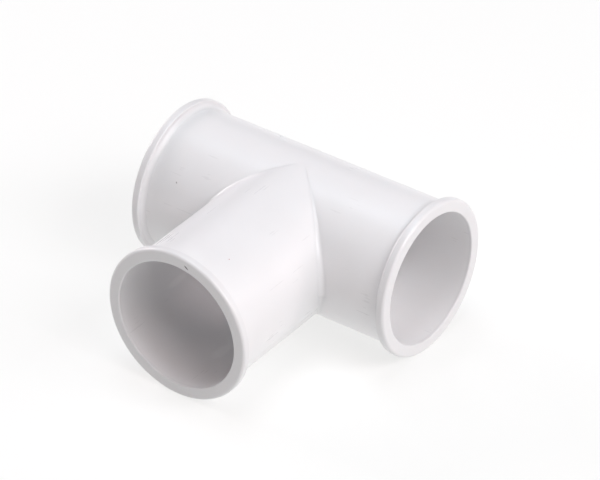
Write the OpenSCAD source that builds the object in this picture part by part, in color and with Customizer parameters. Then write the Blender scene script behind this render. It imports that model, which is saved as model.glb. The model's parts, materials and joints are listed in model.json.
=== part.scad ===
// Equal tee for thin-wall vacuum and waste tube: a straight run, a branch at
// right angles that meets it on a double mitre, and a collar round each mouth.

/* [Tubes] */
// Bore of the three sockets, which take a tube of 50.8 mm outside diameter
socket_bore = 51; // [36:0.5:104]
// Wall of the run tube and the branch tube
tube_wall = 2.2; // [1.8:0.1:4]
// Length of the run from face to face
run_length = 113.5; // [90:0.5:260]
// Distance from the run's axis to the face of the branch
branch_reach = 77; // [60:0.5:160]

/* [Stops] */
// How far a stop stands in from the socket's wall
stop_step = 0.7; // [0.4:0.1:1.2]
// Distance from the mitre's outer corner to each stop
stop_land = 0.6; // [0.2:0.1:3]

/* [Rims] */
// How far a rim stands out from its tube
rim_height = 2.7; // [1.5:0.1:5]
// Width of a rim along its tube, without the cove
rim_width = 3.3; // [2.6:0.1:8]
// Thickness of the lip that covers the tube's end
rim_lip = 1.2; // [0.8:0.1:2]
// Radius of the rim's front corner
rim_front_round = 1.2; // [0.6:0.1:4]
// Radius of the rim's back corner
rim_back_round = 0.5; // [0.2:0.1:0.7]
// Radius of the cove between a rim and its tube
rim_cove = 1.9; // [0.4:0.1:4]
// Radius of the rounded edge that leads a tube in
lead_in = 0.5; // [0.2:0.1:0.7]

/* [Mitre] */
// Radius of the weld fillet along the mitre, from the top crest down
weld_radius = 2.3; // [0.8:0.1:4]
// Radius of the weld's smaller pass, from below the middle to the bottom crest
weld_low_radius = 1.3; // [0.6:0.1:3]
// Distance of the step between the two passes below the tubes' axes
weld_step_drop = 3.5; // [0:0.1:8]

/* [Hidden] */

bore_r = socket_bore / 2;
tube_r = bore_r + tube_wall;
rim_r = tube_r + rim_height;
waterway_r = bore_r - stop_step;
stop_at = tube_r + stop_land;          // distance of each stop from the crossing of the axes
plastic = [0.93, 0.93, 0.95];
weld_plastic = [0.90, 0.90, 0.92];
round_sides = 128;
overcut = 1;                           // how far a cutter runs past what it cuts

arc_steps = 6;
cove_edge = 0.05;                      // thickness left at the thin end of the cove
rim_flat = 0.2;                        // least straight stretch between two rounded corners
front_round = min(
    rim_front_round,
    rim_width - rim_back_round - rim_flat,
    rim_height + tube_wall - lead_in - rim_flat
);
cove_round = min(rim_cove, rim_height - rim_back_round - cove_edge);

weld_steps = 24;                       // sections along each pass
weld_arc_steps = 6;
weld_run_out = 7;                      // degrees from a crest at which the weld starts
weld_step_turn = acos(-weld_step_drop / tube_r);
weld_shelf = 0.6;                      // degrees over which the first pass steps down to the second

// Points on an arc about a centre, from one angle to another
function arc(centre, radius, from, to, steps) = [
    for (i = [0:steps])
        let (a = from + (to - from) * i / steps)
        [centre[0] + radius * cos(a), centre[1] + radius * sin(a)]
];

// Half section of a rim, with X out from the tube's axis and Y in from the mouth's face
rim_section = concat(
    arc([rim_r - front_round, front_round], front_round, -90, 0, arc_steps),
    arc([rim_r - rim_back_round, rim_width - rim_back_round], rim_back_round, 0, 90, arc_steps),
    arc([tube_r + cove_edge + cove_round, rim_width + cove_round], cove_round, -90, -180, arc_steps),
    [
        [tube_r, rim_width + cove_round],
        [tube_r, rim_lip],
        [bore_r, rim_lip]
    ],
    arc([bore_r + lead_in, lead_in], lead_in, -180, -90, arc_steps)
);

// Moves a shape drawn about the crossing of the axes so that the tee rests on Z = 0,
// with the middle of its footprint at the origin
module in_place() {
    translate([0, (branch_reach - rim_r) / 2, rim_r]) children();
}

// Everything on the branch's side of the two mitre planes, which cross at the vertical axis
module branch_side() {
    reach = branch_reach + overcut;
    linear_extrude(2 * (tube_r + overcut), center = true)
        polygon([[0, 0], [-reach, -reach], [reach, -reach]]);
}

// A round bar along Z between two heights
module bar(radius, from, to) {
    translate([0, 0, from]) cylinder(r = radius, h = to - from, $fn = round_sides);
}

module run_tube() {
    half = run_length / 2;
    color(plastic) in_place() difference() {
        rotate([0, 90, 0]) difference() {
            bar(tube_r, rim_lip - half, half - rim_lip);
            bar(waterway_r, -half, half);
            bar(bore_r, stop_at, half);
            bar(bore_r, -half, -stop_at);
        }
        branch_side();
    }
}

module branch_tube() {
    color(plastic) in_place() intersection() {
        rotate([90, 0, 0]) difference() {
            bar(tube_r, 0, branch_reach - rim_lip);
            bar(waterway_r, -overcut, branch_reach);
            bar(bore_r, stop_at, branch_reach);
        }
        branch_side();
    }
}

// A rim about Z with its face at the given height, facing up
module rim(face) {
    translate([0, 0, face]) mirror([0, 0, 1])
        rotate_extrude($fn = round_sides) polygon(rim_section);
}

module left_rim() {
    color(plastic) in_place() rotate([0, -90, 0]) rim(run_length / 2);
}

module right_rim() {
    color(plastic) in_place() rotate([0, 90, 0]) rim(run_length / 2);
}

module branch_rim() {
    color(plastic) in_place() rotate([90, 0, 0]) rim(branch_reach);
}

// One section across the weld, a turn of t from the top of the tubes: the root on the mitre's
// corner, then the hollow face from the run tube to the branch tube, as a ball rolled along
// both tubes would leave it
function weld_section(t, radius) =
    let (
        ball = tube_r + radius,
        centre = [ball * sin(t), -ball * sin(t), ball * cos(t)],
        to_run = [0, sin(t), -cos(t)],
        to_branch = [-sin(t), 0, -cos(t)],
        spread = acos(to_run * to_branch)
    )
    concat(
        [[tube_r * sin(t), -tube_r * sin(t), tube_r * cos(t)]],
        [
            for (i = [0:weld_arc_steps])
                let (s = i / weld_arc_steps)
                centre + radius * (
                    sin((1 - s) * spread) * to_run + sin(s * spread) * to_branch
                ) / sin(spread)
        ]
    );

// The sections of one pass of the weld, from one turn to another
function weld_pass(from, to, radius) = [
    for (k = [0:weld_steps])
        each weld_section(from + (to - from) * k / weld_steps, radius)
];

// The weld on the right of the branch, from near the top crest to near the bottom one, with
// a small shelf where its wider first pass ends and the narrower second one goes on
module weld() {
    sides = weld_arc_steps + 2;
    points = concat(
        weld_pass(weld_run_out, weld_step_turn, weld_radius),
        weld_pass(weld_step_turn + weld_shelf, 180 - weld_run_out, weld_low_radius)
    );
    rings = 2 * (weld_steps + 1);
    skin = [
        for (k = [0:rings - 2], j = [0:sides - 1])
            let (a = k * sides + j, b = k * sides + (j + 1) % sides)
            each [[a, b, a + sides], [b, b + sides, a + sides]]
    ];
    first = [for (j = [1:sides - 2]) [0, j + 1, j]];
    last = [for (j = [1:sides - 2]) [0, j, j + 1] + (rings - 1) * sides * [1, 1, 1]];
    polyhedron(points, concat(skin, first, last));
}

module left_weld() {
    color(weld_plastic) in_place() mirror([1, 0, 0]) weld();
}

module right_weld() {
    color(weld_plastic) in_place() weld();
}

run_tube();
branch_tube();
left_rim();
right_rim();
branch_rim();
left_weld();
right_weld();
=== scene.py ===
"""A white plastic tee fitting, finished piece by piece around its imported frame.

The run tube, the branch tube, the three rims and the two welds are turned or swept by Geometry
Nodes from sizes measured on the frame, then dressed in procedural white plastic and set in a
plain pale studio.
"""

from __future__ import annotations

import json
import logging
import math
from dataclasses import dataclass
from enum import Enum
from typing import Any, Mapping, Optional, Sequence, Union

import bmesh
import bpy
from mathutils import Matrix, Vector

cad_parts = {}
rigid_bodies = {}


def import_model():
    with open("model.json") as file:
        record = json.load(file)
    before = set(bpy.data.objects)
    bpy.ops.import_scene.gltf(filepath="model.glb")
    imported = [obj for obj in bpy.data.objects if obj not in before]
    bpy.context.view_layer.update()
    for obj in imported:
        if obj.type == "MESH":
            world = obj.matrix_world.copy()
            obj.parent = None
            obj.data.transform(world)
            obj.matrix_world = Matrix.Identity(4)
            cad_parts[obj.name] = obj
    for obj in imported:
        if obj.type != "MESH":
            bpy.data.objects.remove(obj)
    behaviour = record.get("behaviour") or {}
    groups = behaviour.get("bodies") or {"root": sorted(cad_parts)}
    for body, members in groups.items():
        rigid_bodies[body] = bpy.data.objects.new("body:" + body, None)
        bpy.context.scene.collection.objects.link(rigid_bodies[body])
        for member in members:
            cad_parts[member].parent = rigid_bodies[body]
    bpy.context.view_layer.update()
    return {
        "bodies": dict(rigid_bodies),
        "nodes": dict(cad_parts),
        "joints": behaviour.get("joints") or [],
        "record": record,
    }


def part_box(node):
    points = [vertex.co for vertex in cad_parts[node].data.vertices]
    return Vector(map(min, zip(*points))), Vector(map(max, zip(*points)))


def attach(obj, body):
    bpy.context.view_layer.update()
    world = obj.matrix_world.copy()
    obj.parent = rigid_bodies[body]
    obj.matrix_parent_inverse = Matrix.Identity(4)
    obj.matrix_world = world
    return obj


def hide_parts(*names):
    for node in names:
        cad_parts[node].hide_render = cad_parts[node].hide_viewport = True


LOG = logging.getLogger("tee_fitting")
MM = 0.001
BODY = "root"
MERGE_DISTANCE = 0.002 * MM

Colour = tuple[float, float, float]
Place = tuple[float, float, float]
Operand = Union["Signal", float]


# ---------------------------------------------------------------------------------------------
# Node trees
# ---------------------------------------------------------------------------------------------


class Signal:
    """One output socket of a node, so that node maths reads as Python arithmetic."""

    def __init__(self, bench: NodeBench, socket: bpy.types.NodeSocket) -> None:
        """Wraps a socket.

        Args:
            bench: The bench whose tree holds the socket.
            socket: The output socket.
        """
        self.bench = bench
        self.socket = socket

    def other(self, name: str) -> Signal:
        """The output of the same node with the given name."""
        return Signal(self.bench, self.socket.node.outputs[name])

    def __add__(self, other: Operand) -> Signal:
        """The sum."""
        return self.bench.math("ADD", self, other)

    def __radd__(self, other: Operand) -> Signal:
        """The sum, with the number first."""
        return self.bench.math("ADD", other, self)

    def __sub__(self, other: Operand) -> Signal:
        """The difference."""
        return self.bench.math("SUBTRACT", self, other)

    def __rsub__(self, other: Operand) -> Signal:
        """The difference, with the number first."""
        return self.bench.math("SUBTRACT", other, self)

    def __mul__(self, other: Operand) -> Signal:
        """The product."""
        return self.bench.math("MULTIPLY", self, other)

    def __truediv__(self, other: Operand) -> Signal:
        """The quotient."""
        return self.bench.math("DIVIDE", self, other)

    def __neg__(self) -> Signal:
        """The negative."""
        return self.bench.math("MULTIPLY", self, -1.0)

    def __abs__(self) -> Signal:
        """The absolute value."""
        return self.bench.math("ABSOLUTE", self)


class NodeBench:
    """Builds the nodes of one tree."""

    def __init__(self, tree: bpy.types.NodeTree) -> None:
        """Starts work on a tree.

        Args:
            tree: The node tree that new nodes join.
        """
        self.tree = tree

    def add(
        self,
        kind: str,
        settings: Optional[Mapping[str, Any]] = None,
        inputs: Optional[Mapping[Union[int, str], Any]] = None,
        output: Union[int, str] = 0,
    ) -> Signal:
        """Adds any node.

        Args:
            kind: The node's type.
            settings: The node's own settings, which are made first.
            inputs: A value or a signal for each input, by name or by number.
            output: Which output to return, by name or by number.

        Returns:
            The chosen output.
        """
        node = self.tree.nodes.new(kind)
        for name, value in (settings or {}).items():
            setattr(node, name, value)
        for key, value in (inputs or {}).items():
            self.feed(node.inputs[key], value)
        return Signal(self, node.outputs[output])

    def feed(self, socket: bpy.types.NodeSocket, value: Any) -> None:
        """Links a signal to an input, or sets the input's own value."""
        if isinstance(value, Signal):
            self.tree.links.new(value.socket, socket)
        else:
            socket.default_value = value

    def math(
        self, operation: str, first: Operand, second: Operand = 0.0, third: Operand = 0.0
    ) -> Signal:
        """Adds a Math node.

        Args:
            operation: The node's operation.
            first: Its first operand.
            second: Its second operand, where the operation has one.
            third: Its third operand, where the operation has one.

        Returns:
            The result.
        """
        return self.add("ShaderNodeMath", {"operation": operation}, {0: first, 1: second, 2: third})

    def larger(self, first: Operand, second: Operand) -> Signal:
        """The larger of two values."""
        return self.math("MAXIMUM", first, second)

    def sine(self, angle: Operand) -> Signal:
        """The sine of an angle in radians."""
        return self.math("SINE", angle)

    def cosine(self, angle: Operand) -> Signal:
        """The cosine of an angle in radians."""
        return self.math("COSINE", angle)

    def ramp(self, value: Operand, low: float, high: float) -> Signal:
        """A smooth step from 0 at low to 1 at high."""
        return self.add(
            "ShaderNodeMapRange",
            {"interpolation_type": "SMOOTHSTEP"},
            {"Value": value, "From Min": low, "From Max": high},
        )

    def mixed(self, share: Signal, start: Any, end: Any) -> Signal:
        """A colour between two others."""
        colour_start, colour_end, colour_result = 6, 7, 2
        return self.add(
            "ShaderNodeMix",
            {"data_type": "RGBA"},
            {"Factor": share, colour_start: start, colour_end: end},
            colour_result,
        )

    def vector(self, x: Operand, y: Operand, z: Operand) -> Signal:
        """A vector from its three parts."""
        return self.add("ShaderNodeCombineXYZ", None, {0: x, 1: y, 2: z})

    def vector_math(self, operation: str, first: Any, second: Any = (0.0, 0.0, 0.0)) -> Signal:
        """Adds a Vector Math node that gives a vector."""
        return self.add("ShaderNodeVectorMath", {"operation": operation}, {0: first, 1: second})

    def length(self, vector: Signal) -> Signal:
        """The length of a vector."""
        return self.add("ShaderNodeVectorMath", {"operation": "LENGTH"}, {0: vector}, "Value")


class GeometryBench(NodeBench):
    """Builds one Geometry Nodes tree, with named inputs and one geometry output."""

    def __init__(self, name: str) -> None:
        """Starts an empty tree with the given name."""
        super().__init__(bpy.data.node_groups.new(name, "GeometryNodeTree"))
        self.entry = self.tree.nodes.new("NodeGroupInput")
        self.material = self.named_input("Finish", "NodeSocketMaterial")

    def named_input(self, name: str, kind: str = "NodeSocketFloat") -> Signal:
        """Adds an input to the tree.

        Args:
            name: The input's name.
            kind: The type of its socket.

        Returns:
            The input, as a signal inside the tree.
        """
        self.tree.interface.new_socket(name, in_out="INPUT", socket_type=kind)
        return Signal(self, self.entry.outputs[name])

    def pick(self, data_type: str, index: Signal, choices: Sequence[Any]) -> Signal:
        """Picks one of several values by a whole number.

        Args:
            data_type: The type of the values.
            index: Which of them to take, from 0.
            choices: The values, as numbers or signals.

        Returns:
            The value picked.
        """
        picked = self.add("GeometryNodeIndexSwitch", {"data_type": data_type})
        node = picked.socket.node
        while len(node.index_switch_items) < len(choices):
            node.index_switch_items.new()
        self.feed(node.inputs["Index"], index)
        for place, choice in enumerate(choices):
            self.feed(node.inputs[place + 1], choice)
        return picked

    def merged(self, geometry: Signal) -> Signal:
        """Joins points that lie on one another."""
        return self.add(
            "GeometryNodeMergeByDistance", None, {"Geometry": geometry, "Distance": MERGE_DISTANCE}
        )

    def close(self, geometry: Signal) -> None:
        """Smooths the shape, gives it its material and ends the tree."""
        smooth = self.add("GeometryNodeSetShadeSmooth", {"domain": "FACE"}, {"Geometry": geometry})
        real = self.add("GeometryNodeRealizeInstances", None, {"Geometry": smooth})
        dressed = self.add(
            "GeometryNodeSetMaterial", None, {"Geometry": real, "Material": self.material}
        )
        self.tree.interface.new_socket(
            "Geometry", in_out="OUTPUT", socket_type="NodeSocketGeometry"
        )
        self.feed(self.tree.nodes.new("NodeGroupOutput").inputs[0], dressed)

    def make(self, name: str, values: Mapping[str, Any], placing: Matrix) -> bpy.types.Object:
        """Runs the tree and keeps its result as a plain mesh.

        Args:
            name: The name of the new piece.
            values: A value for each of the tree's inputs, by name.
            placing: Takes the shape from the tree's own axes to its place on the tee.

        Returns:
            The piece, with its place in its mesh.
        """
        holder = bpy.data.objects.new(name + "_holder", bpy.data.meshes.new(name + "_holder"))
        bpy.context.scene.collection.objects.link(holder)
        modifier = holder.modifiers.new("shape", "NODES")
        modifier.node_group = self.tree
        for item in self.tree.interface.items_tree:
            if item.in_out == "INPUT":
                modifier[item.identifier] = values[item.name]
        evaluated = holder.evaluated_get(bpy.context.evaluated_depsgraph_get())
        mesh = bpy.data.meshes.new_from_object(evaluated)
        holder.modifiers.remove(modifier)
        bpy.data.objects.remove(holder)
        mesh.name = name
        mesh.transform(placing)
        piece = bpy.data.objects.new(name, mesh)
        bpy.context.scene.collection.objects.link(piece)
        return piece


# ---------------------------------------------------------------------------------------------
# Sizes and places
# ---------------------------------------------------------------------------------------------


@dataclass(frozen=True)
class TeeSizes:
    """The tee's sizes in metres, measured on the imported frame."""

    crossing: Vector
    tube_radius: float
    bore_radius: float
    waterway_radius: float
    stop_distance: float
    run_half: float
    branch_reach: float
    lip: float
    rim_radius: float
    rim_depth: float

    @classmethod
    def measured(cls, frame: Mapping[str, Any]) -> TeeSizes:
        """Measures the frame.


        Returns:
            The sizes.
        """
        run_low, run_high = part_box("run_tube")
        rim_low, rim_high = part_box("right_rim")
        branch_low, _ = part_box("branch_rim")
        tube_radius = (run_high.z - run_low.z) / 2
        crossing = Vector((0.0, run_high.y - tube_radius, (run_high.z + run_low.z) / 2))
        socket = next(m for m in frame["record"]["mounts"] if m["name"] == "right_socket")
        waterway = min(
            math.hypot(v.co.y - crossing.y, v.co.z - crossing.z)
            for v in frame["nodes"]["run_tube"].data.vertices
        )
        return cls(
            crossing=crossing,
            tube_radius=tube_radius,
            bore_radius=socket["dims"]["r_mm"] * MM,
            waterway_radius=waterway,
            stop_distance=socket["pos_m"][0],
            run_half=rim_high.x,
            branch_reach=crossing.y - branch_low.y,
            lip=rim_high.x - run_high.x,
            rim_radius=(rim_high.z - rim_low.z) / 2,
            rim_depth=rim_high.x - rim_low.x,
        )


class Leg(Enum):
    """The three legs of the tee, by the way that each one's mouth faces."""

    LEFT = (-1.0, 0.0, 0.0)
    RIGHT = (1.0, 0.0, 0.0)
    BRANCH = (0.0, -1.0, 0.0)

    def placing(self, crossing: Vector) -> Matrix:
        """Takes a leg drawn up the Z axis to its place.

        Args:
            crossing: Where the tubes' axes cross.

        Returns:
            A turn and a shift. On the run, the drawn leg's X axis goes towards the branch.
        """
        outward = Vector(self.value)
        sideways = Vector((1.0, 0.0, 0.0)) if self is Leg.BRANCH else Vector(Leg.BRANCH.value)
        turn = Matrix((sideways, outward.cross(sideways), outward)).transposed().to_4x4()
        return Matrix.Translation(crossing) @ turn


# ---------------------------------------------------------------------------------------------
# Finishes
# ---------------------------------------------------------------------------------------------


@dataclass(frozen=True)
class Mark:
    """A small spot of colour on the plastic, in millimetres from the crossing: a real blemish, a
    painted sheen, or painted shade in a gap.
    """

    centre: Place
    half_size: Place
    # The spot's colour: a real stain, a painted sheen or painted shade.
    stain_or_painted_light: Colour
    strength: float
    lean: float = 0.0
    solid_share: float = 0.4


@dataclass(frozen=True)
class NoisePattern:
    """Cloudy noise: its patches to a metre, its detail, and how strongly it acts."""

    scale: float
    detail: float
    strength: float


@dataclass(frozen=True)
class LinePattern:
    """Noise drawn out into lines: its patches to a metre each way, and how strongly it acts."""

    along: float
    across: float
    detail: float
    strength: float


@dataclass(frozen=True)
class PlasticFinish:
    """Smooth white plastic, with the fine marks of how its piece was made.

    The strengths of the relief patterns are heights in millimetres.
    """

    name: str
    slot: str
    axis: Leg
    colour: Colour = (0.795, 0.79, 0.80)
    cloud: Colour = (0.765, 0.755, 0.76)
    clouds: NoisePattern = NoisePattern(38.0, 3.0, 0.35)
    cloud_edge: tuple[float, float] = (0.42, 0.75)
    gloss_roughness: float = 0.30
    dull_patches: NoisePattern = NoisePattern(90.0, 3.0, 0.10)
    dull_lines: LinePattern = LinePattern(12.0, 1400.0, 2.0, 0.08)
    grain: NoisePattern = NoisePattern(1800.0, 1.0, 0.0010)
    waves: NoisePattern = NoisePattern(70.0, 1.0, 0.03)
    line_relief: LinePattern = LinePattern(5.0, 600.0, 1.0, 0.0004)
    ring_relief: NoisePattern = NoisePattern(3200.0, 2.0, 0.003)
    ripple_relief: NoisePattern = NoisePattern(420.0, 2.0, 0.012)
    refraction: float = 1.53
    glow_weight: float = 0.12
    glow_spread: Colour = (1.0, 0.85, 0.8)
    glow_depth: float = 0.8 * MM
    drawn_lines: float = 1.0
    turned_rings: float = 0.0
    ripples: float = 0.0
    marks: tuple[Mark, ...] = ()

    def material(self, crossing: Vector) -> bpy.types.Material:
        """Builds the material.

        Args:
            crossing: Where the tubes' axes cross, which centres the patterns.

        Returns:
            A procedural material on Object coordinates.
        """
        material = bpy.data.materials.new(self.name)
        material.use_nodes = True
        bench = NodeBench(material.node_tree)
        shader = material.node_tree.nodes["Principled BSDF"]
        shader.inputs["IOR"].default_value = self.refraction
        shader.inputs["Subsurface Weight"].default_value = self.glow_weight
        shader.inputs["Subsurface Radius"].default_value = self.glow_spread
        shader.inputs["Subsurface Scale"].default_value = self.glow_depth
        place = bench.add("ShaderNodeTexCoord", None, None, "Object")
        centred = bench.add(
            "ShaderNodeMapping", None, {"Vector": place, "Location": tuple(-crossing)}
        )
        bench.feed(shader.inputs["Base Color"], self._colour(bench, centred))
        bench.feed(shader.inputs["Roughness"], self._roughness(bench, centred))
        bench.feed(shader.inputs["Normal"], self._relief(bench, centred))
        return material

    def _noise(self, bench: NodeBench, place: Signal, scale: float, detail: float) -> Signal:
        """Cloudy noise from 0 to 1, with the given number of patches to a metre."""
        return bench.add(
            "ShaderNodeTexNoise", None, {"Vector": place, "Scale": scale, "Detail": detail}
        )

    def _raised(
        self, bench: NodeBench, place: Signal, pattern: NoisePattern, amount: float
    ) -> Signal:
        """Noise as a height, with some amount of the pattern's own strength."""
        return self._noise(bench, place, pattern.scale, pattern.detail) * (
            pattern.strength * amount
        )

    def _lines(self, bench: NodeBench, place: Signal, pattern: LinePattern) -> Signal:
        """Noise from 0 to 1, drawn out into lines along the piece's axis."""
        along, across = pattern.along, pattern.across
        stretch = (across, along, across) if self.axis is Leg.BRANCH else (along, across, across)
        return self._noise(
            bench, bench.vector_math("MULTIPLY", place, stretch), 1.0, pattern.detail
        )

    def _axis_distance(self, bench: NodeBench, place: Signal) -> Signal:
        """The distance from the piece's axis, in metres."""
        flat = (1.0, 0.0, 1.0) if self.axis is Leg.BRANCH else (0.0, 1.0, 1.0)
        return bench.length(bench.vector_math("MULTIPLY", place, flat))

    def _mark_mask(self, bench: NodeBench, place: Signal, mark: Mark) -> Signal:
        """1 in the middle of a blemish, a painted sheen or a painted shade, and 0 outside it."""
        scaled = bench.add(
            "ShaderNodeMapping",
            {"vector_type": "TEXTURE"},
            {
                "Vector": place,
                "Location": tuple(part * MM for part in mark.centre),
                "Rotation": (0.0, math.radians(mark.lean), 0.0),
                "Scale": tuple(part * MM for part in mark.half_size),
            },
        )
        return (1.0 - bench.ramp(bench.length(scaled), mark.solid_share, 1.0)) * mark.strength

    def _colour(self, bench: NodeBench, place: Signal) -> Signal:
        """White with faint clouds, and the blemishes, painted sheens and painted shade over it."""
        noise = self._noise(bench, place, self.clouds.scale, self.clouds.detail)
        clouds = bench.ramp(noise, *self.cloud_edge) * self.clouds.strength
        colour = bench.mixed(clouds, (*self.colour, 1.0), (*self.cloud, 1.0))
        for mark in self.marks:
            mask = self._mark_mask(bench, place, mark)
            # Real blemishes, painted sheens and painted shade are laid over the white.
            colour = bench.mixed(mask, colour, (*mark.stain_or_painted_light, 1.0))
        return colour

    def _roughness(self, bench: NodeBench, place: Signal) -> Signal:
        """An even sheen, a little duller in patches and along the drawn lines."""
        patches = self._noise(bench, place, self.dull_patches.scale, self.dull_patches.detail) - 0.5
        lines = self._lines(bench, place, self.dull_lines) - 0.5
        return (
            self.gloss_roughness
            + patches * self.dull_patches.strength
            + lines * (self.dull_lines.strength * self.drawn_lines)
        )

    def _relief(self, bench: NodeBench, place: Signal) -> Signal:
        """Fine grain, slow waves, and the lines, rings or ripples of the piece's making."""
        height = self._raised(bench, place, self.grain, 1.0)
        height = height + self._raised(bench, place, self.waves, 1.0)
        lines = self._lines(bench, place, self.line_relief)
        height = height + lines * (self.line_relief.strength * self.drawn_lines)
        if self.turned_rings:
            radial = bench.vector(self._axis_distance(bench, place), 0.0, 0.0)
            height = height + self._raised(bench, radial, self.ring_relief, self.turned_rings)
        if self.ripples:
            height = height + self._raised(bench, place, self.ripple_relief, self.ripples)
        return bench.add(
            "ShaderNodeBump", None, {"Strength": 1.0, "Distance": MM, "Height": height}, "Normal"
        )


# ---------------------------------------------------------------------------------------------
# Pieces
# ---------------------------------------------------------------------------------------------


@dataclass(frozen=True)
class Corner:
    """A corner of a half section: how far out it is, how far along the axis, and its round."""

    out: Operand
    along: Operand
    round: Operand = 0.0


class TurnedShape:
    """A half section turned about the Z axis, as the start of a Geometry Nodes tree."""

    GUIDE_RADIUS = 1.0
    ROUND_POINTS = 10

    def __init__(self, name: str) -> None:
        """Opens a tree with an input for the number of sides."""
        self.bench = GeometryBench(name)
        self.sides = self.bench.named_input("Sides", "NodeSocketInt")

    def turned(self, corners: Sequence[Corner]) -> Signal:
        """Turns a closed half section.

        Args:
            corners: The section's corners in order, going up the outside and down the inside.

        Returns:
            The turned skin.
        """
        bench = self.bench
        index = bench.add("GeometryNodeInputIndex")
        outline = bench.add(
            "GeometryNodeCurvePrimitiveCircle",
            {"mode": "RADIUS"},
            {"Resolution": len(corners), "Radius": MM},
            "Curve",
        )
        places = [bench.vector(c.out - self.GUIDE_RADIUS, -c.along, 0.0) for c in corners]
        section = bench.add(
            "GeometryNodeSetPosition",
            None,
            {"Geometry": outline, "Position": bench.pick("VECTOR", index, places)},
        )
        rounded = bench.add(
            "GeometryNodeFilletCurve",
            {"mode": "POLY"},
            {
                "Curve": section,
                "Count": self.ROUND_POINTS,
                "Radius": bench.pick("FLOAT", index, [c.round for c in corners]),
            },
        )
        guide = bench.add(
            "GeometryNodeCurvePrimitiveCircle",
            {"mode": "RADIUS"},
            {"Resolution": self.sides, "Radius": self.GUIDE_RADIUS},
            "Curve",
        )
        skin = bench.add(
            "GeometryNodeCurveToMesh", None, {"Curve": guide, "Profile Curve": rounded}
        )
        return bench.merged(bench.add("GeometryNodeFlipFaces", None, {"Mesh": skin}))


@dataclass
class MitredTubes:
    """The run tube and the branch tube, whose inner ends are cut by the mitre's two planes."""

    sizes: TeeSizes
    sides: int = 256
    inner_rings: int = 5
    outer_rings: int = 8
    stop_round: float = 0.25 * MM
    joint_reach: float = 0.02 * MM
    sharp_angle: float = math.radians(32.0)

    def _tree(self, name: str, is_run: bool) -> GeometryBench:
        """Builds the tree of the run tube or of the branch tube.

        Args:
            name: The tree's name.
            is_run: Whether to make both legs of the run, notched on one side, in place of one
                leg that is cut on both sides.

        Returns:
            The bench that holds the finished tree.
        """
        shape = TurnedShape(name)
        bench = shape.bench
        tube = bench.named_input("Tube radius")
        bore = bench.named_input("Bore radius")
        waterway = bench.named_input("Waterway radius")
        stop = bench.named_input("Stop distance")
        end = bench.named_input("End distance")
        stop_round = bench.named_input("Stop round")
        inner = [stop * (step / self.inner_rings) for step in range(self.inner_rings)]
        outer = [
            stop + (end - stop) * (step / self.outer_rings) for step in range(1, self.outer_rings)
        ]
        skin = shape.turned(
            [
                *(Corner(tube, along) for along in (*inner, stop, *outer)),
                Corner(tube, end),
                Corner(bore, end),
                *(Corner(bore, along) for along in reversed(outer)),
                Corner(bore, stop),
                Corner(waterway, stop, stop_round),
                *(Corner(waterway, along) for along in reversed(inner)),
            ]
        )
        position = bench.add("GeometryNodeInputPosition")
        place = bench.add("ShaderNodeSeparateXYZ", None, {0: position})
        across, up = place.other("X"), place.other("Z")
        mitre = bench.larger(across, 0.0) if is_run else abs(across)
        squeezed = up + mitre * bench.larger(1.0 - up / stop, 0.0)
        cut = bench.add(
            "GeometryNodeSetPosition",
            None,
            {"Geometry": skin, "Position": bench.vector(across, place.other("Y"), squeezed)},
        )
        bench.close(self._both_legs(bench, cut) if is_run else cut)
        return bench

    def _both_legs(self, bench: GeometryBench, leg: Signal) -> Signal:
        """Joins a leg of the run to its twin across the plane Z = 0, where neither has a wall."""
        position = bench.add("GeometryNodeInputPosition")
        height = bench.add("ShaderNodeSeparateXYZ", None, {0: position}, "Z")
        joint = bench.math("LESS_THAN", height, self.joint_reach)
        opened = bench.add(
            "GeometryNodeDeleteGeometry", {"domain": "FACE"}, {"Geometry": leg, "Selection": joint}
        )
        twin = bench.add(
            "GeometryNodeTransform", None, {"Geometry": opened, "Rotation": (math.pi, 0.0, 0.0)}
        )
        both = bench.add("GeometryNodeJoinGeometry", None, {"Geometry": opened})
        bench.feed(both.socket.node.inputs["Geometry"], twin)
        return bench.merged(both)

    def build(self, finishes: Mapping[str, bpy.types.Material]) -> dict[str, bpy.types.Object]:
        """Makes both tubes.

        Args:
            finishes: The material of each node.

        Returns:
            Each tube by the name of the node that it stands for.
        """
        made = {}
        for node, leg, reach in (
            ("run_tube", Leg.RIGHT, self.sizes.run_half),
            ("branch_tube", Leg.BRANCH, self.sizes.branch_reach),
        ):
            tree = self._tree(node + "_shape", leg is not Leg.BRANCH)
            made[node] = tree.make(
                node + "_wall",
                {
                    "Finish": finishes[node],
                    "Sides": self.sides,
                    "Tube radius": self.sizes.tube_radius,
                    "Bore radius": self.sizes.bore_radius,
                    "Waterway radius": self.sizes.waterway_radius,
                    "Stop distance": self.sizes.stop_distance,
                    "End distance": reach - self.sizes.lip,
                    "Stop round": self.stop_round,
                },
                leg.placing(self.sizes.crossing),
            )
            made[node].data.set_sharp_from_angle(angle=self.sharp_angle)
        return made


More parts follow.
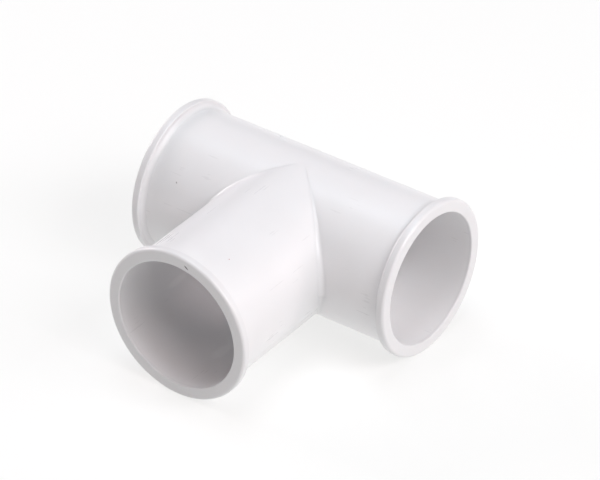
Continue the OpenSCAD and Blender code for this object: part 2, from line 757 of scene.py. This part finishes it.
@dataclass
class MouthRims:
    """The rounded collars of the three mouths, each with a lip over its tube's end."""

    sizes: TeeSizes
    sides: int = 384
    front_round: float = 1.2 * MM
    back_round: float = 0.5 * MM
    cove: float = 1.9 * MM
    cove_edge: float = 0.1 * MM
    lead_in: float = 0.5 * MM
    sharp_angle: float = math.radians(32.0)

    def _tree(self) -> GeometryBench:
        """Builds the tree that turns one rim, with its face at Z = 0 and its tube above."""
        shape = TurnedShape("mouth_rim_shape")
        bench = shape.bench
        bore = bench.named_input("Bore radius")
        tube = bench.named_input("Tube radius")
        rim = bench.named_input("Rim radius")
        depth = bench.named_input("Rim depth")
        lip = bench.named_input("Lip")
        back_face = depth - self.cove
        thin_edge = tube + self.cove_edge
        skin = shape.turned(
            [
                Corner(rim, 0.0, self.front_round),
                Corner(rim, back_face, self.back_round),
                Corner(thin_edge, back_face, self.cove),
                Corner(thin_edge, depth),
                Corner(tube, depth),
                Corner(tube, lip),
                Corner(bore, lip),
                Corner(bore, 0.0, self.lead_in),
            ]
        )
        bench.close(skin)
        return bench

    def build(self, finishes: Mapping[str, bpy.types.Material]) -> dict[str, bpy.types.Object]:
        """Makes the three rims.

        Args:
            finishes: The material of each node.

        Returns:
            Each rim by the name of the node that it stands for.
        """
        tree = self._tree()
        made = {}
        for node, leg, reach in (
            ("left_rim", Leg.LEFT, self.sizes.run_half),
            ("right_rim", Leg.RIGHT, self.sizes.run_half),
            ("branch_rim", Leg.BRANCH, self.sizes.branch_reach),
        ):
            face_down = Matrix.Translation((0.0, 0.0, reach)) @ Matrix.Rotation(math.pi, 4, "X")
            made[node] = tree.make(
                node + "_collar",
                {
                    "Finish": finishes[node],
                    "Sides": self.sides,
                    "Bore radius": self.sizes.bore_radius,
                    "Tube radius": self.sizes.tube_radius,
                    "Rim radius": self.sizes.rim_radius,
                    "Rim depth": self.sizes.rim_depth,
                    "Lip": self.sizes.lip,
                },
                leg.placing(self.sizes.crossing) @ face_down,
            )
            made[node].data.set_sharp_from_angle(angle=self.sharp_angle)
        return made


@dataclass
class MitreWelds:
    """The two fillets along the mitre, each laid in a wide pass and a narrower one below it."""

    sizes: TeeSizes
    radius: float = 2.3 * MM
    low_radius: float = 1.3 * MM
    step_drop: float = 3.5 * MM
    shelf_turn: float = math.radians(0.6)
    shelf_softness: float = 0.2
    run_out: float = math.radians(4.0)
    rings: int = 181
    arc_points: int = 13
    sharp_angle: float = math.radians(50.0)

    def _tree(self) -> GeometryBench:
        """Builds the tree of the weld to the right of the branch, about the crossing."""
        bench = GeometryBench("mitre_weld_shape")
        tube = bench.named_input("Tube radius")
        high = bench.named_input("Weld radius")
        low = bench.named_input("Low pass radius")
        drop = bench.named_input("Step drop")
        columns = self.arc_points + 2
        grid = bench.add(
            "GeometryNodeMeshGrid",
            None,
            {"Size X": 1.0, "Size Y": 1.0, "Vertices X": self.rings, "Vertices Y": columns},
            "Mesh",
        )
        index = bench.add("GeometryNodeInputIndex")
        ring = bench.math("FLOOR", index / columns + 0.5 / columns)
        column = index - ring * columns
        turn = self.run_out + ring * ((math.pi - 2 * self.run_out) / (self.rings - 1))
        step_turn = bench.math("ARCCOSINE", -(drop / tube))
        past_step = bench.larger((turn - step_turn) / self.shelf_turn, 0.0)
        stepped = bench.math("SMOOTH_MIN", past_step, 1.0, self.shelf_softness)
        radius = high + (low - high) * stepped
        place = self._surface(bench, tube, radius, turn, column, columns)
        skin = bench.add("GeometryNodeSetPosition", None, {"Geometry": grid, "Position": place})
        bench.close(bench.merged(skin))
        return bench

    def _surface(
        self,
        bench: GeometryBench,
        tube: Signal,
        radius: Signal,
        turn: Signal,
        column: Signal,
        columns: int,
    ) -> Signal:
        """The place of each point of the weld.

        Args:
            bench: The weld's bench.
            tube: The tubes' outer radius.
            radius: The weld's radius at the point.
            turn: The point's turn from the top crest, in radians.
            column: The point's number across the weld, where the first and last are its root.
            columns: How many points there are across the weld, the root counted twice.

        Returns:
            The place, as a vector. Between its roots, the weld follows a ball rolled along both
            tubes.
        """
        sine, cosine = bench.sine(turn), bench.cosine(turn)
        share = (column - 1.0) / (columns - 3)
        to_run = bench.vector(0.0, sine * (1.0 - share), -cosine * (1.0 - share))
        to_branch = bench.vector(-sine * share, 0.0, -cosine * share)
        inward = bench.vector_math("NORMALIZE", bench.vector_math("ADD", to_run, to_branch))
        reach = tube + radius
        centre = bench.vector(reach * sine, -reach * sine, reach * cosine)
        to_skin = bench.vector_math("MULTIPLY", inward, bench.vector(radius, radius, radius))
        ball = bench.vector_math("ADD", centre, to_skin)
        root = bench.vector(tube * sine, -(tube * sine), tube * cosine)
        is_root = bench.math("GREATER_THAN", abs(share - 0.5), 0.5 + 0.25 / columns)
        return bench.add(
            "GeometryNodeSwitch",
            {"input_type": "VECTOR"},
            {"Switch": is_root, "False": ball, "True": root},
        )

    def build(self, finishes: Mapping[str, bpy.types.Material]) -> dict[str, bpy.types.Object]:
        """Makes both welds.

        Args:
            finishes: The material of each node.

        Returns:
            Each weld by the name of the node that it stands for.
        """
        tree = self._tree()
        made = {}
        for node, side in (("left_weld", -1.0), ("right_weld", 1.0)):
            mirror = Matrix.Diagonal((side, 1.0, 1.0, 1.0))
            made[node] = tree.make(
                node + "_fillet",
                {
                    "Finish": finishes[node],
                    "Tube radius": self.sizes.tube_radius,
                    "Weld radius": self.radius,
                    "Low pass radius": self.low_radius,
                    "Step drop": self.step_drop,
                },
                Matrix.Translation(self.sizes.crossing) @ mirror,
            )
            close_and_face_out(made[node])
            made[node].data.set_sharp_from_angle(angle=self.sharp_angle)
        return made


def close_and_face_out(piece: bpy.types.Object) -> None:
    """Fills a piece's open ends and turns its faces outwards."""
    work = bmesh.new()
    work.from_mesh(piece.data)
    bmesh.ops.holes_fill(work, edges=work.edges, sides=0)
    bmesh.ops.recalc_face_normals(work, faces=work.faces)
    work.to_mesh(piece.data)
    work.free()


# ---------------------------------------------------------------------------------------------
# Studio
# ---------------------------------------------------------------------------------------------


@dataclass(frozen=True)
class SoftPanel:
    """A square light panel that faces the tee."""

    name: str
    bearing: float
    height_angle: float
    width: float
    power: float
    tint: Colour


@dataclass
class Studio:
    """A pale floor, soft light and the camera."""

    crossing: Vector
    panels: tuple[SoftPanel, ...]
    panel_distance: float = 1.4
    room_strength: float = 0.02
    floor_colour: Colour = (0.30, 0.30, 0.30)
    floor_glow: Colour = (1.0, 1.0, 0.99)
    floor_glow_strength: float = 0.66
    floor_half: float = 60.0
    floor_roughness: float = 0.9
    floor_specular: float = 0.1
    azimuth: float = 36.28
    elevation: float = 34.7
    distance: float = 1.64
    lens: float = 269.3
    sensor_width: float = 36.0
    nearest: float = 0.05
    aim_offset: Place = (0.47, -3.24, -4.17)

    @staticmethod
    def direction(bearing: float, height_angle: float) -> Vector:
        """A direction out from the tee.

        Args:
            bearing: Degrees from -Y towards +X.
            height_angle: Degrees above the floor.

        Returns:
            A unit vector.
        """
        turn, rise = math.radians(bearing), math.radians(height_angle)
        return Vector(
            (math.sin(turn) * math.cos(rise), -math.cos(turn) * math.cos(rise), math.sin(rise))
        )

    @staticmethod
    def facing(at: Vector, outward: Vector) -> Matrix:
        """A place and a turn whose own Z axis points outward and whose X axis stays level."""
        level = Vector((-outward.y, outward.x, 0.0))
        if level.length < 1e-6:
            level = Vector((1.0, 0.0, 0.0))
        level.normalize()
        turn = Matrix((level, outward.cross(level), outward)).transposed().to_4x4()
        return Matrix.Translation(at) @ turn

    def set_camera(self) -> None:
        """Adds the camera, which looks at a point by the tubes' crossing."""
        data = bpy.data.cameras.new("camera")
        data.sensor_width = self.sensor_width
        data.lens = self.lens
        data.clip_start = self.nearest
        data.clip_end = 4.0 * self.floor_half
        camera = bpy.data.objects.new("camera", data)
        bpy.context.scene.collection.objects.link(camera)
        outward = self.direction(self.azimuth, self.elevation)
        aim = self.crossing + Vector(self.aim_offset) * MM
        camera.matrix_world = self.facing(aim + outward * self.distance, outward)
        bpy.context.scene.camera = camera

    def set_floor(self) -> None:
        """Adds a wide pale table, lit softly from below, under the tee."""
        half = self.floor_half
        mesh = bpy.data.meshes.new("floor")
        corners = [(-half, -half, 0.0), (half, -half, 0.0), (half, half, 0.0), (-half, half, 0.0)]
        mesh.from_pydata(corners, [], [(0, 1, 2, 3)])
        floor = bpy.data.objects.new("floor", mesh)
        bpy.context.scene.collection.objects.link(floor)
        material = bpy.data.materials.new("pale_floor")
        material.use_nodes = True
        shader = material.node_tree.nodes["Principled BSDF"]
        shader.inputs["Base Color"].default_value = (*self.floor_colour, 1.0)
        shader.inputs["Roughness"].default_value = self.floor_roughness
        shader.inputs["Specular IOR Level"].default_value = self.floor_specular
        shader.inputs["Emission Color"].default_value = (*self.floor_glow, 1.0)
        shader.inputs["Emission Strength"].default_value = self.floor_glow_strength
        mesh.materials.append(material)

    def set_lights(self) -> None:
        """Adds the panels and the even light of the room."""
        for panel in self.panels:
            data = bpy.data.lights.new(panel.name, "AREA")
            data.shape = "SQUARE"
            data.size = panel.width
            data.energy = panel.power
            data.color = panel.tint
            light = bpy.data.objects.new(panel.name, data)
            bpy.context.scene.collection.objects.link(light)
            outward = self.direction(panel.bearing, panel.height_angle)
            place = self.crossing + outward * self.panel_distance
            light.matrix_world = self.facing(place, outward)
        world = bpy.data.worlds.new("room")
        world.use_nodes = True
        background = world.node_tree.nodes["Background"]
        background.inputs["Color"].default_value = (1.0, 1.0, 1.0, 1.0)
        background.inputs["Strength"].default_value = self.room_strength
        bpy.context.scene.world = world
        bpy.context.scene.view_settings.view_transform = "Standard"

    def build(self) -> None:
        """Sets up the whole studio."""
        self.set_camera()
        self.set_floor()
        self.set_lights()


# ---------------------------------------------------------------------------------------------
# The tee
# ---------------------------------------------------------------------------------------------

RUN_SPECK = Mark((-40.84, -23.03, 15.39), (0.55, 0.45, 0.35), (0.36, 0.34, 0.35), 0.9, lean=40.0)
BRANCH_DOT = Mark((12.24, -61.38, 24.85), (0.32, 0.32, 0.32), (0.50, 0.30, 0.30), 0.9)
# Painted shade: a short near-black line at the face ring's outer edge stands in for the shadow in a
# thin gap.
RIM_PAINTED_GAP_SHADE = Mark((5.17, -76.95, 27.03), (1.35, 0.6, 0.36), (0.10, 0.085, 0.09), 1.0, lean=38.0)
# Painted sheen: two lighter streaks on the branch bore's walls stand in for reflected light.
PAINTED_BORE_SHEENS = (
    Mark((-23.96, -45.0, -8.72), (2.0, 7.0, 1.8), (0.95, 0.95, 0.95), 0.3),
    Mark((1.33, -52.0, -25.46), (3.0, 7.0, 2.0), (0.95, 0.95, 0.95), 0.3),
)

RIM_WHITE = (0.75, 0.745, 0.755)

RUN_FINISH = PlasticFinish("run_white_plastic", "tube_plastic", Leg.RIGHT, marks=(RUN_SPECK,))
BRANCH_FINISH = PlasticFinish(
    "branch_white_plastic", "tube_plastic", Leg.BRANCH, marks=(BRANCH_DOT, *PAINTED_BORE_SHEENS)
)
RUN_RIM_FINISH = PlasticFinish(
    "run_rim_white_plastic", "rim_plastic", Leg.RIGHT, RIM_WHITE, drawn_lines=0.0, turned_rings=1.0
)
BRANCH_RIM_FINISH = PlasticFinish(
    "branch_rim_white_plastic",
    "rim_plastic",
    Leg.BRANCH,
    RIM_WHITE,
    drawn_lines=0.0,
    turned_rings=1.0,
    marks=(RIM_PAINTED_GAP_SHADE,),
)
WELD_FINISH = PlasticFinish(
    "weld_white_plastic",
    "weld_plastic",
    Leg.RIGHT,
    gloss_roughness=0.34,
    drawn_lines=0.0,
    ripples=0.4,
)

FINISH_OF_NODE = {
    "run_tube": RUN_FINISH,
    "branch_tube": BRANCH_FINISH,
    "left_rim": RUN_RIM_FINISH,
    "right_rim": RUN_RIM_FINISH,
    "branch_rim": BRANCH_RIM_FINISH,
    "left_weld": WELD_FINISH,
    "right_weld": WELD_FINISH,
}

PANELS = (
    SoftPanel("overhead_panel", 0.0, 90.0, 0.6, 5.7, (0.91, 0.97, 1.0)),
    SoftPanel("front_overhead_panel", 0.0, 68.0, 0.6, 2.8, (1.0, 0.85, 0.84)),
    SoftPanel("right_overhead_panel", 60.0, 68.0, 0.6, 1.05, (1.0, 0.95, 0.98)),
    SoftPanel("left_overhead_panel", 240.0, 68.0, 0.6, 2.3, (0.71, 0.9, 1.0)),
    SoftPanel("right_front_panel", 70.0, 42.0, 0.6, 5.1, (1.0, 0.93, 0.92)),
    SoftPanel("right_panel", 95.0, 42.0, 0.6, 6.8, (0.95, 0.98, 1.0)),
    SoftPanel("low_right_panel", 115.0, 22.0, 0.45, 3.8, (1.0, 0.86, 0.87)),
    SoftPanel("low_back_left_panel", 250.0, 22.0, 0.45, 2.8, (1.0, 0.84, 0.88)),
    SoftPanel("low_left_panel", 270.0, 22.0, 0.45, 7.1, (1.0, 0.93, 0.93)),
)


def main() -> None:
    """Builds the tee around the frame, sets the studio and logs the sizes and the pieces."""
    logging.basicConfig(level=logging.INFO, format="%(name)s: %(message)s")
    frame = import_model()
    sizes = TeeSizes.measured(frame)
    radii = (sizes.tube_radius / MM, sizes.bore_radius / MM)
    LOG.info("tube radius %.2f mm, bore radius %.2f mm", *radii)
    Studio(sizes.crossing, PANELS).build()
    materials = {
        finish: finish.material(sizes.crossing) for finish in dict.fromkeys(FINISH_OF_NODE.values())
    }
    finishes = {node: materials[finish] for node, finish in FINISH_OF_NODE.items()}
    for group in (MitredTubes(sizes), MouthRims(sizes), MitreWelds(sizes)):
        for node, piece in group.build(finishes).items():
            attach(piece, BODY)
            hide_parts(node)
            LOG.info("%s stands for %s, %d faces", piece.name, node, len(piece.data.polygons))


if __name__ == "__main__":
    main()
